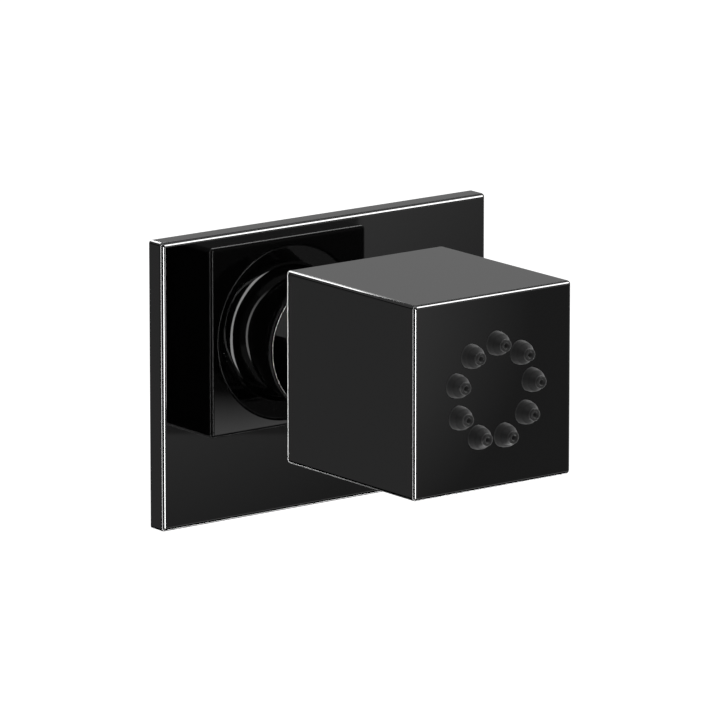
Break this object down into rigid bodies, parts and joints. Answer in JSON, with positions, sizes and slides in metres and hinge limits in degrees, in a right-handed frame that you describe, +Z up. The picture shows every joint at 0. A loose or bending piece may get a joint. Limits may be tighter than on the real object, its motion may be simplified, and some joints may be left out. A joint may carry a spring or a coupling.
{
  "type": "shower body jet",
  "caption": "Wall-mounted shower body jet: a square gloss black spray head with soft nozzles on a swivel ball, in front of a rectangular cover plate.",
  "frame": {"origin": "on the axis of the inlet thread, in the plane of the wall", "axes": "+Y into the wall along the inlet thread, the head points to -Y, +Z up, +X to the right seen from the room"},
  "size_m": [0.104, 0.0948, 0.0751],
  "materials": {
    "gloss_black": "high-gloss black coating over metal",
    "coated_ball": "gloss black coated brass",
    "plain_brass": "turned brass",
    "steel": "stainless steel",
    "pale_plastic": "white acetal",
    "grey_plastic": "dark grey moulded plastic",
    "seal_rubber": "black rubber",
    "foam": "closed-cell foam",
    "silicone": "dark satin silicone"
  },
  "bodies": {
    "base": {"wall_plate": "gloss_black", "plate_gasket": "foam", "inlet_nipple": "plain_brass", "inlet_seal": "seal_rubber", "inlet_filter": "grey_plastic", "flow_limiter": "grey_plastic", "limiter_oring": "seal_rubber", "ball_stem": "coated_ball", "stem_oring": "seal_rubber", "stem_sleeve": "gloss_black", "sleeve_gasket": "seal_rubber", "sleeve_grub_screw": "steel"},
    "rear_seat": {"rear_seat_ring": "pale_plastic"},
    "front_seat": {"front_seat_ring": "pale_plastic"},
    "head": {"head_shell": "gloss_black", "ball_retainer": "gloss_black", "socket_insert": "grey_plastic", "insert_oring": "seal_rubber", "ball_seal": "seal_rubber", "seal_spring": "steel", "chamber_cover": "grey_plastic", "chamber_screws": "steel", "chamber_oring": "seal_rubber", "chamber_filter": "steel", "spray_chamber": "grey_plastic", "nozzle_mat": "silicone"}
  },
  "joints": [
    {"name": "head_pan", "type": "hinge", "parent": "base", "child": "rear_seat", "pos_m": [0, -0.0265, 0], "axis": [0, 0, 1], "range_deg": [-10, 10]},
    {"name": "head_tilt", "type": "hinge", "parent": "rear_seat", "child": "front_seat", "pos_m": [0, -0.0265, 0], "axis": [1, 0, 0], "range_deg": [-10, 10]},
    {"name": "head_roll", "type": "hinge", "parent": "front_seat", "child": "head", "pos_m": [0, -0.0265, 0], "axis": [0, 1, 0], "continuous": true}
  ]
}
